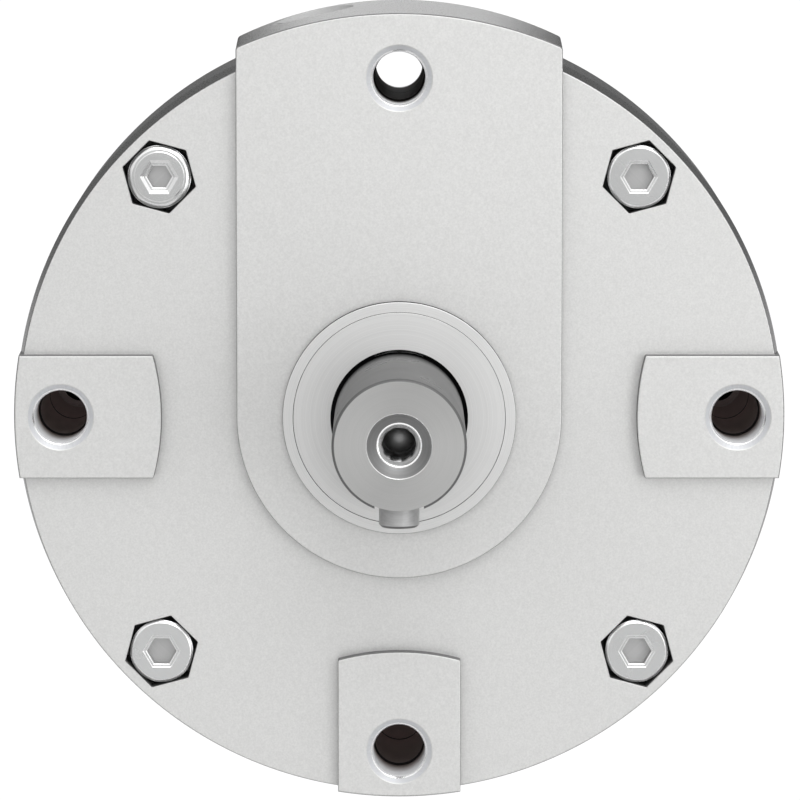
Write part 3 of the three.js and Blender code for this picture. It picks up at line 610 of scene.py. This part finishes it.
def front_housing():
    prof = [(0.0, 0.0)] + quarter(R_FRONT - 0.3, 0.3, 0.3, -90, 0, 4)
    prof += [(R_FLARE, D_FLARE), (R_SPLIT - 0.02, F_END - 0.25), (R_SPLIT - 0.25, F_END), (0.0, F_END)]
    body = lathe("front", prof, 288)
    o_f, o_s = tongue_outline(*T_F), tongue_outline(*T_S)
    rings = []
    for k in range(5):
        a = PI / 2 * k / 4
        rings.append((offset(o_f, -0.28 * (1 - math.sin(a))), 0.28 * (1 - math.cos(a))))
    rings.append((o_s, F_END - 0.25))
    rings.append((offset(o_s, -0.22), F_END))
    join(body, loft("tongue", rings))
    cut(body, face_relief(True, T_F[0]))
    collar = lathe("collar", [(0.0, -1.3)] + quarter(18.05 - 0.14, -1.16, 0.14, -90, 0, 4) + [(18.05, 2.5), (18.05, 3.2), (0.0, 3.2)], 256)
    join(body, collar)
    # the stepped bore and the vane chamber
    cut(body, lathe("ring_seat", [(0.0, -4.0), (16.4 + 0.22, -4.0), (16.4 + 0.07, -1.3), (16.4 + 0.03, -1.22), (16.4 + 0.03, 1.2), (0.0, 1.2)], 256))
    cut(body, lathe("bore", [(0.0, 0.0), (16.1, 0.0), (16.1, 9.75), (13.65, 9.75), (13.65, 12.6), (10.5, 12.6), (10.5, 15.0), (0.0, 15.0)], 96))
    cut(body, lathe("chamber", [(0.0, 14.0), (43.0, 14.0), (43.0, 33.0), (0.0, 33.0)], 144))
    for x, z in HOLES:
        c = [(0.0, -3.0), (MOUTH_R + 0.25, -3.0), (MOUTH_R + 0.25, -0.12), (MOUTH_R, 0.0), (MOUTH_R - 0.14, 0.08), (MOUTH_R - 0.80, 0.68), (HOLE_R + 0.20, 0.76), (HOLE_R + 0.06, 0.92), (HOLE_R, 1.25), (HOLE_R, 9.72), (CORE_R, 9.92), (CORE_R, 33.0), (0.0, 33.0)]
        cut(body, lathe("hole", c, 96, at=(x, z)))
    for x, z in SCREWS.values():
        cut(body, lathe("shank", [(0.0, 5.0), (3.3, 5.0), (3.3, 33.0), (0.0, 33.0)], 32, at=(x, z)))
        base = hexagon(x, z, 10.18, outward(x, z), 0.25, 4)
        rings = [(offset(base, 0.5), STEP - 0.4), (offset(base, 0.1), STEP), (base, STEP + 0.1), (base, 8.85)]
        cut(body, loft("pocket", rings))
    port(body, -13.7, 22.6)
    return body


def thread_cutter(r_major, r_minor, pitch, p0, p1, axis, at, n=72, per=8, lead_in=0.0):
    """Closed solid whose side is a true helical 60-degree thread; cutting it leaves an internal thread."""
    rows = max(2, int(round((p1 - p0) / pitch * per)))
    verts, faces = [], []
    for i in range(rows + 1):
        p = p0 + (p1 - p0) * i / rows
        for j in range(n):
            a = 2 * PI * j / n
            ph = ((p - p0) / pitch - j / n) % 1.0
            tri = 1 - abs(2 * ph - 1)  # 0..1..0
            tri = min(1.0, max(0.0, (tri - 0.10) / 0.78))
            r = r_minor + (r_major - r_minor) * tri
            if axis == "Y":
                verts.append((at[0] + r * math.cos(a), Y(p), at[1] + r * math.sin(a)))
            else:
                verts.append((at[0] + r * math.cos(a), Y(at[1]) + r * math.sin(a), p))
    for i in range(rows):
        faces += ring_faces(i * n, (i + 1) * n, n)
    faces.append(tuple(reversed(range(n))))
    faces.append(tuple(range(rows * n, (rows + 1) * n)))
    return obj_from("thread", verts, faces)


def port(body, x, d):
    """G 1/4 port from above: chamfered mouth, thread, smaller air passage."""
    surface = 62.0
    cut(body, thread_cutter(6.58, 5.85, 1.337, 49.6, 60.0, "Z", (x, d), 72, 8))
    cut(body, lathe("neck", [(0.0, 36.0), (4.5, 36.0), (4.5, 49.0), (5.7, 49.0), (5.7, 50.0), (0.0, 50.0)], 64, "Z", at=(x, d)))
    # countersunk mouth that follows the arched top
    mouth = lathe("mouth", [(0.0, -2.6), (5.9, -2.6), (5.9, -1.05), (6.9, -0.05), (7.1, 0.4), (7.1, 4.0), (0.0, 4.0)], 96, "Z", at=(0.0, BODY_DEPTH))
    mouth.data.transform(Matrix.Translation((x, Y(d), surface - 0.27)) @ Matrix.Rotation(math.asin(x / 60.0), 4, "Y"))
    cut(body, mouth)


# ---------------------------------------------------------------- rear housing
def rear_housing():
    D = BODY_DEPTH
    prof = [(0.0, R_START), (R_SPLIT - 0.25, R_START), (R_SPLIT - 0.02, R_START + 0.25)]
    prof += [(r, d) for r, d in quarter(R_REAR - 0.5, D - 0.5, 0.5, 0, 90, 5)] + [(0.0, D)]
    body = lathe("rear", prof, 288)
    o_s, o_r = tongue_outline(*T_S), tongue_outline(*T_R)
    rings = [(offset(o_s, -0.22), R_START), (o_s, R_START + 0.25)]
    for k in range(5):
        a = PI / 2 * k / 4
        rings.append((offset(o_r, -0.4 * (1 - math.cos(a))), D - 0.4 + 0.4 * math.sin(a)))
    join(body, loft("tongue", rings))
    cut(body, face_relief(False, T_R[0]))
    cut(body, lathe("chamber", [(0.0, 28.0), (43.0, 28.0), (43.0, 37.0), (0.0, 37.0)], 144))
    cut(body, lathe("bore", [(0.0, 35.0), (10.5, 35.0), (10.5, 38.1), (13.65, 38.1), (13.65, 40.9), (16.1, 40.9), (16.1, 50.0), (0.0, 50.0)], 96))
    cut(body, lathe("cap_seat", [(0.0, 49.5), (16.49, 49.5), (16.49, D - 0.3), (16.85, D), (16.85, D + 2), (0.0, D + 2)], 256))
    for i, (x, z) in enumerate(HOLES):
        if i == 0:
            c = [(0.0, 28.0), (CORE_R, 28.0), (CORE_R, D - 1.45), (MOUTH_R, D - 0.02), (MOUTH_R + 0.2, D + 0.12), (MOUTH_R + 0.2, D + 2), (0.0, D + 2)]
        else:
            c = [(0.0, 28.0), (CORE_R, 28.0), (CORE_R, BLIND - 1.3), (2.9, BLIND - 1.0), (0.0, BLIND)]
        cut(body, lathe("hole", c, 96, at=(x, z)))
    for x, z in SCREWS.values():
        cut(body, lathe("shank", [(0.0, 28.0), (3.3, 28.0), (3.3, 46.0), (0.0, 46.0)], 32, at=(x, z)))
        base = hexagon(x, z, 10.18, outward(x, z), 0.25, 4)
        f = D - STEP
        rings = [(base, 43.0), (base, f - 0.1), (offset(base, 0.1), f), (offset(base, 0.5), f + 0.4)]
        cut(body, loft("pocket", rings))
    port(body, 13.7, 38.7)
    return body


PORTS = [(-13.7, 22.6), (13.7, 38.7)]


def housing_face(c, n):
    """0 blasted face, 1 outer wall in painted shade, 2 mounting hole in painted light and shade, 3 hexagon pocket and
    the openings behind it,
    4 walls of the raised pads in painted shade, 5 countersinks, 6 lips with a painted highlight, 7 side of the collar
    in painted shade, 8 mouths of the ports,
    9 ends of the blind holes in painted black shade, 10 front of the collar."""
    d = c.y + BODY_DEPTH
    hole = min(math.hypot(c.x - x, c.z - z) for x, z in HOLES)
    if hole < MOUTH_R + 0.12 and (abs(n.y) < 0.97 or 1.0 < d < 48.0):
        e = min(d, BODY_DEPTH - d) if hole > HOLE_R + 0.02 and c.z > PCR - 6 else d
        if 0.0 < e < 1.3 and hole > HOLE_R + 0.02:
            return 0 if e < 0.09 else 5 if e < 0.70 else 6 if e < 0.93 else 2
        return 9 if d > BLIND - 0.95 and hole < 2.9 and c.z < PCR - 6 else 2
    if min(math.hypot(c.x - x, c.z - z) for x, z in SCREWS.values()) < 6.4 and (d > STEP + 0.3) and (d < BODY_DEPTH - STEP - 0.3):
        return 3
    if c.z > 55 and min(math.hypot(c.x - x, d - q) for x, q in PORTS) < 7.2 and math.hypot(n.x, n.y) > 0.45 and 3.0 < d < 48.0:
        return 8
    r = math.hypot(c.x, c.z)
    if d < STEP + 0.4 or d > BODY_DEPTH - STEP - 0.4:
        if abs(n.y) > 0.65 and (r < 58.8 or abs(n.y) > 0.9):
            return 10 if r < 18.1 and d < -0.6 else 0
        if c.z > 57.0 and abs(n.y) > 0.1 and min(d, BODY_DEPTH - d) < 0.3:
            return 4
        if r < 18.3:
            return 7
        if r < 58.6 and not c.z > 57.0:
            return 4
    return 1


finish_piece(front_housing(), "front_housing_shell", "housing", HOUSING, ["front_housing"], assign=housing_face)
finish_piece(rear_housing(), "rear_housing_shell", "housing", HOUSING, ["rear_housing"], assign=housing_face)


# ---------------------------------------------------------------- cover ring and end cap
ring = lathe("ring", quarter(16.4 - 0.07, -1.3 + 0.07, 0.07, -90, 0, 3) + [(16.4, 0.95), (10.58, 0.95)] + quarter(10.58 + 0.06, -1.3 + 0.06, 0.06, 180, 270, 3), 256)
# painted shade: the ring's bore and its back take the near-black shade material
finish_piece(ring, "collar_cover_ring", "housing", [M_RING, M_SHADE], ["front_cover_ring"],
             assign=lambda c, n: 1 if math.hypot(c.x, c.z) < 10.72 or c.y > Y(-1.0) else 0)

cap = lathe("cap", [(0.0, 49.65), (16.4, 49.65), (16.4, 51.0 - 0.3)] + quarter(16.1, 50.7, 0.3, 0, 90, 3)[1:] + [(2.2, 51.0), (1.4, 50.6), (0.0, 50.55)], 256)
finish_piece(cap, "rear_cap_disc", "housing", M_RING, ["rear_end_cap"])


# ---------------------------------------------------------------- shaft and keys
def key_outline(w, y0, y1, n=16):
    r = w / 2
    return arc(0, y1 - r, r, 0, 180, n) + arc(0, y0 + r, r, 180, 360, n)


def key_solid(w, d0, d1, z0, z1, chamfer=0.3):
    o = key_outline(w, Y(d0), Y(d1))
    if chamfer:
        rings = [(offset(o, -chamfer), z0), (o, z0 + chamfer), (o, z1 - chamfer), (offset(o, -chamfer), z1)]
    else:
        rings = [(o, z0), (o, z1)]
    return loft("key", rings, axis="Z")


def drive_shaft():
    d0 = -36.7
    prof = [(0.0, d0)] + [(9.62, d0), (9.68, d0 + 0.03), (9.97, d0 + 0.32), (10.0, d0 + 0.40)]
    prof += [(10.0, -1.75), (10.0, 1.15), (9.5, 1.15), (9.5, 2.35), (10.0, 2.35), (10.0, 48.1), (9.5, 48.1), (9.5, 49.2), (9.3, 49.4), (0.0, 49.4)]
    body = lathe("shaft", prof, 192)
    # centre hole: flat 60-degree seat with a raised inner lip, then an M6 thread
    cut(body, lathe("sink", [(0.0, d0 - 2), (5.05, d0 - 2), (4.93, d0 - 0.01), (4.86, d0 + 0.04), (4.80, d0 + 0.12), (3.36, d0 + 1.30), (3.24, d0 + 1.28), (3.12, d0 + 1.33), (3.04, d0 + 1.45), (3.0, d0 + 1.75), (0.0, d0 + 1.75)], 128))
    cut(body, thread_cutter(3.05, 2.52, 1.0, d0 + 1.0, d0 + 12.0, "Y", (0, 0), 64, 10))
    cut(body, lathe("drill", [(0.0, d0 + 10), (2.5, d0 + 10), (2.5, d0 + 13.0), (0.0, d0 + 14.5)], 64))
    cut(body, key_solid(6.04, -35.42, -3.38, -12.0, -6.45, 0))
    cut(body, key_solid(6.04, 15.98, 35.02, -12.0, -6.45, 0))
    # the outer edge is relieved by the keyway's mouth
    relief = lathe("relief", [(9.62, d0 - 1.0), (11.5, d0 - 1.0), (11.5, -33.6), (9.62, -33.6)], 192)
    boolean(relief, loft("relief_width", [([(3.65, -12.0), (3.65, -6.0), (-3.65, -6.0), (-3.65, -12.0)], d0 - 2.0), ([(3.65, -12.0), (3.65, -6.0), (-3.65, -6.0), (-3.65, -12.0)], -33.0)]), "INTERSECT")
    cut(body, relief)
    return body


def shaft_face(c, n):
    """0 turned steel, 1 edges of the centre hole with a painted highlight, 2 the dark threaded hole, 3 the cylinder in
    painted shade, 4 the seat in painted shade, 5 the shaft inside the seal gap in painted black shade, 6 the front
    bevel in painted shade.
    """
    r, d = math.hypot(c.x, c.z), c.y + BODY_DEPTH + 36.7
    if d < 12 and (4.79 < r < 4.95 and d < 0.1 or 3.0 < r < 3.33 and 1.2 < d < 1.6):
        return 1
    if r < 3.2 and 1.4 < d < 16:
        return 2
    if r > 9.64 and d < 0.5 and n.y < -0.3:
        return 6
    if r < 4.9 and 0.05 < d < 1.4:
        return 4
    if abs(n.y) < 0.3 and 34.9 < d < 38.5 and r > 9.0:
        return 5
    return 3 if abs(n.y) < 0.3 and r > 6.0 else 0


finish_piece(drive_shaft(), "output_shaft", "rotor", [M_SHAFT, M_PAINTED_HIGHLIGHT, M_THREAD, M_GROUND, M_SEAT, M_SHADE, M_KEY_EDGE], ["drive_shaft"], assign=shaft_face)
finish_piece(key_solid(6.0, -35.4, -3.4, -12.5, -6.5, 0.38), "feather_key", "rotor", [M_KEY, M_KEY_EDGE], ["shaft_key"],
             assign=lambda c, n: 1 if 0.3 < abs(n.z) < 0.95 else 0)


# ---------------------------------------------------------------- screws and nuts
def cap_screw(x, z, stepped=False):
    top = 2.6
    r = 4.88
    if stepped:
        prof = [(0.0, top), (3.78, top), (3.92, top + 0.08), (4.22, top + 0.09)]
        prof += quarter(4.22 - 0.855, top + 0.09 + 2.35, 2.5, -70, -52, 8)
    else:
        prof = [(0.0, top), (r - 0.44, top)] + quarter(r - 0.44 - 0.78, top + 1.84, 2.0, -67, -52, 7)
    prof = [q for q in prof if q[0] < r - 0.01]
    prof += [(r, prof[-1][1] + 0.02), (r, top + 5.85), (r - 0.15, top + 6.0), (3.3, top + 6.0), (3.0, top + 6.3), (3.0, 39.5), (0.0, 39.5)]
    s = lathe("screw", prof, 160, at=(x, z))
    if stepped:
        steps = [(2.62, 0.0), (2.13, 0.29), (1.88, 0.31), (1.70, 0.41), (1.66, 2.2)]
    else:
        steps = [(2.56, 0.0), (2.42, 0.08), (2.17, 0.10), (2.01, 0.19), (1.97, 2.1)]
    rings = [(hexagon(x, z, 2 * (steps[0][0] + 0.6), 30, 0.2, 3), top - 0.6)]
    rings += [(hexagon(x, z, 2 * h, 30, 0.2, 3), top + dd) for h, dd in steps]
    cut(s, loft("socket", rings))
    # threaded end
    n, per, pitch, p0, p1 = 48, 10, 1.0, 39.45, 48.3
    rows = int((p1 - p0) / pitch * per)
    verts, faces = [], []
    for i in range(rows + 1):
        p = p0 + (p1 - p0) * i / rows
        fade = min(1.0, (p1 - p) / 0.7)
        for j in range(n):
            a = 2 * PI * j / n
            ph = ((p - p0) / pitch - j / n) % 1.0
            tri = min(1.0, max(0.0, (1 - abs(2 * ph - 1) - 0.1) / 0.8))
            rr = 2.45 + 0.5 * tri * fade - 0.25 * (1 - fade)
            verts.append((x + rr * math.cos(a), Y(p), z + rr * math.sin(a)))
    for i in range(rows):
        faces += ring_faces(i * n, (i + 1) * n, n)
    faces.append(tuple(reversed(range(n))))
    faces.append(tuple(range(rows * n, (rows + 1) * n)))
    return join(s, obj_from("thread", verts, faces))


def screw_face(r, d, n):
    """0 plated head, 1 inside of the socket, 2 bevels and rounded rim in a brighter copy of the plating, a painted
    highlight.
    """
    if d > 4.0 and r > 2.5 or n.y > -0.2 and r > 4.0:
        return 0
    if r < 3.2 and d > 3.1:
        return 1
    return 2 if -0.975 < n.y < -0.55 and d < 3.6 else 0


def hex_nut(x, z):
    """M6 nut with 30-degree chamfered faces, from depth 43.15 to 48.15."""
    body = loft("nut", [(hexagon(x, z, 9.85, outward(x, z), 0.05, 2), 43.15), (hexagon(x, z, 9.85, outward(x, z), 0.05, 2), 48.15)])
    dome = lathe("dome", [(0.0, 43.15), (4.75, 43.15), (5.75, 43.15 + 0.58), (5.75, 48.15 - 0.58), (4.75, 48.15), (0.0, 48.15)], 96, at=(x, z))
    boolean(body, dome, "INTERSECT")
    cut(body, lathe("bore", [(0.0, 42.0), (3.6, 42.0), (3.6, 43.15), (3.08, 43.7), (3.08, 47.6), (3.6, 48.15), (3.6, 50.0), (0.0, 50.0)], 64, at=(x, z)))
    return body


for cn, (sx, sz) in SCREWS.items():
    finish_piece(cap_screw(sx, sz, cn == "upper_left"), "cap_screw_" + cn, "housing", [M_ZINC, M_SOCKET, M_RIM], ["clamp_screw_" + cn], weld=0.0002, sharp=12,
                 assign=lambda c, n, sx=sx, sz=sz: screw_face(math.hypot(c.x - sx, c.z - sz), c.y + BODY_DEPTH, n))
    finish_piece(hex_nut(sx, sz), "hex_nut_" + cn, "housing", M_ZINC, ["clamp_nut_" + cn], weld=0.0002)

# ---------------------------------------------------------------- inner pieces keep their CAD shape
for n, o in NODES.items():
    if o.hide_render:
        continue
    if "race" in n or "ball" in n:
        mat = M_BEARING
    elif "cage" in n:
        mat = M_BRASS
    # black oxide retaining rings, dark also as painted shade seen through the seal gap
    elif "retaining_ring" in n:
        mat = M_OXIDE
    elif "shaft_seal" in n or n in ("housing_sealing_ring", "stator_seal_strip"):
        mat = M_RUBBER
    elif "cushion" in n or n == "vane_seal":
        mat = M_PU
    elif n in ("stator_block", "vane"):
        mat = M_RING
    else:
        mat = M_STEEL
    o.data.materials.clear()
    o.data.materials.append(mat)

# ---------------------------------------------------------------- stage, light, camera
def stage_material(name, seen, bounce):
    """A plain pale surface: white to the eye, a softer grey as a source of bounced light."""
    m = bpy.data.materials.new(name)
    m.use_nodes = True
    nt = m.node_tree
    nt.nodes.clear()
    out = nt.nodes.new("ShaderNodeOutputMaterial")
    e1 = nt.nodes.new("ShaderNodeEmission")
    e1.inputs["Color"].default_value = (1, 1, 1, 1)
    e1.inputs["Strength"].default_value = seen
    d = nt.nodes.new("ShaderNodeBsdfDiffuse")
    d.inputs["Color"].default_value = (bounce, bounce, bounce, 1)
    lp = nt.nodes.new("ShaderNodeLightPath")
    mx = nt.nodes.new("ShaderNodeMixShader")
    nt.links.new(lp.outputs["Is Camera Ray"], mx.inputs[0])
    nt.links.new(d.outputs[0], mx.inputs[1])
    nt.links.new(e1.outputs[0], mx.inputs[2])
    nt.links.new(mx.outputs[0], out.inputs["Surface"])
    return m


def plane(name, size, loc, mat):
    s = size / 2
    me = bpy.data.meshes.new(name)
    me.from_pydata([(-s, -s, 0), (s, -s, 0), (s, s, 0), (-s, s, 0)], [], [(0, 1, 2, 3)])
    o = bpy.data.objects.new(name, me)
    o.location = loc
    me.materials.append(mat)
    bpy.context.scene.collection.objects.link(o)
    return o


plane("floor", 40.0, (0, 0, -0.30), stage_material("pale_floor", 1.05, 0.78))

WORLD_DARK, WORLD_BRIGHT = 0.155, 1.23
world = bpy.data.worlds.new("studio")
bpy.context.scene.world = world
world.use_nodes = True
wn = world.node_tree
wn.nodes.clear()
tc = wn.nodes.new("ShaderNodeTexCoord")
mr = wn.nodes.new("ShaderNodeMapRange")
mr.interpolation_type = "SMOOTHSTEP"
mr.inputs["From Min"].default_value = -0.35
mr.inputs["From Max"].default_value = 0.95
mr.inputs["To Min"].default_value = WORLD_DARK
mr.inputs["To Max"].default_value = WORLD_BRIGHT
dot = wn.nodes.new("ShaderNodeVectorMath")
dot.operation = "DOT_PRODUCT"
aim = Vector((0.17, -0.93, 0.36)).normalized()
dot.inputs[1].default_value = aim
wn.links.new(tc.outputs["Generated"], dot.inputs[0])
wn.links.new(dot.outputs["Value"], mr.inputs["Value"])
bg = wn.nodes.new("ShaderNodeBackground")
bg.inputs["Color"].default_value = (1, 1, 1, 1)
wn.links.new(mr.outputs["Result"], bg.inputs["Strength"])
# seen directly, the studio is as white as its floor
seen = wn.nodes.new("ShaderNodeBackground")
seen.inputs["Color"].default_value = (1, 1, 1, 1)
seen.inputs["Strength"].default_value = 1.05
wlp = wn.nodes.new("ShaderNodeLightPath")
wmx = wn.nodes.new("ShaderNodeMixShader")
wn.links.new(wlp.outputs["Is Camera Ray"], wmx.inputs[0])
wn.links.new(bg.outputs[0], wmx.inputs[1])
wn.links.new(seen.outputs[0], wmx.inputs[2])
wout = wn.nodes.new("ShaderNodeOutputWorld")
wn.links.new(wmx.outputs[0], wout.inputs["Surface"])


def area_light(name, loc, target, size, power, size_y=None):
    ld = bpy.data.lights.new(name, "AREA")
    ld.energy = power
    ld.shape = "RECTANGLE"
    ld.size = size
    ld.size_y = size_y or size
    o = bpy.data.objects.new(name, ld)
    o.location = loc
    o.rotation_euler = (Vector(target) - Vector(loc)).to_track_quat("-Z", "Y").to_euler()
    o.visible_camera = False
    bpy.context.scene.collection.objects.link(o)
    return o


area_light("key_softbox", (0.24, -0.92, 1.00), (0, -0.03, 0), 0.9, 6.2)
area_light("right_fill", (0.75, -1.10, -0.08), (0, -0.05, -0.02), 0.5, 2.0)
area_light("low_fill", (-0.12, -1.05, -0.50), (0, -0.05, -0.03), 0.5, 2.0)
area_light("rear_high_softbox", (-0.16, 1.05, 1.15), (0, 0, 0), 0.5, 1.8)
area_light("rear_softbox", (0.0, 1.45, 0.30), (0, 0, 0.02), 0.30, 0.30)

# the photograph looks square on to the end face from above, which needs a large shift;
# this is the tilted view with a small shift whose picture differs least from it
cam_data = bpy.data.cameras.new("camera")
cam_data.sensor_width = 36.0
cam_data.sensor_fit = "HORIZONTAL"
cam_data.lens = 4809.6 / 800 * 36.0
cam_data.clip_start, cam_data.clip_end = 0.05, 100
cam_data.shift_x, cam_data.shift_y = 0.001, -0.07
cam = bpy.data.objects.new("camera", cam_data)
bpy.context.scene.collection.objects.link(cam)
cam.location = (0.0, -0.051 - 0.7401, 0.08755)
cam.rotation_euler = (PI / 2 - math.radians(5.874), 0.0, 0.0)
bpy.context.scene.camera = cam
bpy.context.scene.view_settings.view_transform = "Standard"
